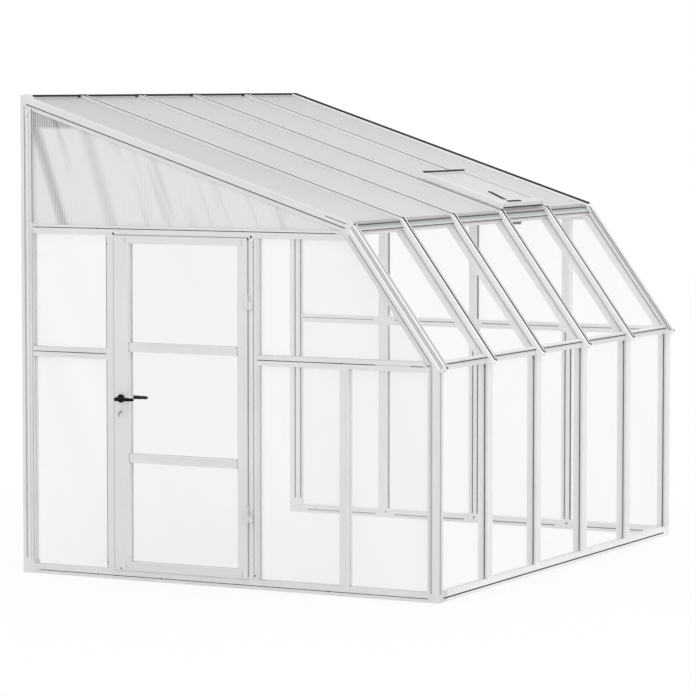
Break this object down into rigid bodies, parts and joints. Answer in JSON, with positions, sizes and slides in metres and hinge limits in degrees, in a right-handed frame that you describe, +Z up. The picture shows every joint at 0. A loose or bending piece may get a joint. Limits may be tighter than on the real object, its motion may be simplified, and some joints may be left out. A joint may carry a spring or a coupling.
{
  "type": "lean-to greenhouse",
  "caption": "Lean-to greenhouse frame with a steep clear glazed front band, twin-wall roof, hinged gable door and a tilting roof vent.",
  "frame": {"origin": "centre of the footprint's bounding box, on the ground under the base rails", "axes": "+Z up; +X along the house wall from the door gable to the far gable; +Y towards the house wall, which the open back stands against"},
  "size_m": [3.266, 2.6324, 2.684],
  "materials": {
    "white_bar": "satin white extruded bar",
    "clear_pane": "clear glazing",
    "twin_wall_sheet": "milky twin-wall sheet with fine flutes",
    "black_plastic": "black moulded handle",
    "lock_steel": "plain nickel-coloured steel"
  },
  "bodies": {
    "house": {"base_rail_far": "white_bar", "base_rail_front": "white_bar", "base_rail_near": "white_bar", "door_jamb_hinge": "white_bar", "door_jamb_latch": "white_bar", "eave_rail": "white_bar", "end_rib_far": "white_bar", "end_rib_near": "white_bar", "far_gable_pane_1": "clear_pane", "far_gable_pane_2": "clear_pane", "far_gable_pane_3": "clear_pane", "far_gable_pane_4": "clear_pane", "far_gable_posts": "white_bar", "front_pane_1": "clear_pane", "front_pane_2": "clear_pane", "front_pane_3": "clear_pane", "front_pane_4": "clear_pane", "front_pane_5": "clear_pane", "gable_pane_corner_lower": "clear_pane", "gable_pane_left_lower": "clear_pane", "gable_pane_left_upper": "clear_pane", "gable_pane_right_lower": "clear_pane", "gable_pane_right_upper": "clear_pane", "gable_rail_far": "white_bar", "gable_rail_near": "white_bar", "gable_sheet_far": "twin_wall_sheet", "gable_sheet_near": "twin_wall_sheet", "inner_rib_1": "white_bar", "inner_rib_2": "white_bar", "inner_rib_3": "white_bar", "inner_rib_4": "white_bar", "knee_rail": "white_bar", "left_middle_rail": "white_bar", "rear_post_far": "white_bar", "rear_post_near": "white_bar", "ridge_rail": "white_bar", "right_middle_rail": "white_bar", "roof_sheet_1": "twin_wall_sheet", "roof_sheet_2": "twin_wall_sheet", "roof_sheet_3": "twin_wall_sheet", "roof_sheet_4": "twin_wall_sheet", "roof_sheet_5": "twin_wall_sheet", "slant_pane_1": "clear_pane", "slant_pane_2": "clear_pane", "slant_pane_3": "clear_pane", "slant_pane_4": "clear_pane", "slant_pane_5": "clear_pane", "vent_kerb": "white_bar"},
    "door": {"door_leaf": "white_bar", "door_pane_1": "clear_pane", "door_pane_2": "clear_pane", "door_pane_3": "clear_pane"},
    "levers": {"outer_lever": "black_plastic", "inner_lever": "black_plastic"},
    "latch_bolt": {"latch_bolt": "lock_steel"},
    "lock_plug": {"lock_plug_key": "lock_steel"},
    "vent_lid": {"vent_lid_frame": "white_bar", "vent_lid_sheet": "twin_wall_sheet", "vent_bow_handle": "black_plastic"},
    "vent_catch": {"vent_catch_bar": "black_plastic"}
  },
  "joints": [
    {"name": "door_hinge", "type": "hinge", "parent": "house", "child": "door", "pos_m": [-1.581, -0.1308, 1], "axis": [0, 0, 1], "range_deg": [0, 100]},
    {"name": "lever_turn", "type": "hinge", "parent": "door", "child": "levers", "pos_m": [-1.567, 0.6662, 1.008], "axis": [1, 0, 0], "range_deg": [0, 40], "stiffness_Nm_per_rad": 0.6, "springref_deg": -22.92},
    {"name": "latch_slide", "type": "slide", "parent": "door", "child": "latch_bolt", "axis": [0, -1, 0], "range_m": [0, 0.0101]},
    {"name": "key_turn", "type": "hinge", "parent": "door", "child": "lock_plug", "pos_m": [-1.567, 0.6642, 0.936], "axis": [1, 0, 0], "range_deg": [0, 90]},
    {"name": "vent_hinge", "type": "hinge", "parent": "house", "child": "vent_lid", "pos_m": [0.673, -0.18942, 2.22789], "axis": [-1, 0, 0], "range_deg": [0, 40]},
    {"name": "catch_swing", "type": "hinge", "parent": "vent_lid", "child": "vent_catch", "pos_m": [0.673, -0.66423, 2.02917], "axis": [-1, 0, 0], "range_deg": [-80.5, 0]}
  ],
  "couplings": [
    {"joint": "latch_slide", "follows": "lever_turn", "m_per_rad": 0.01432},
    {"joint": "catch_swing", "follows": "vent_hinge", "ratio": -2}
  ]
}
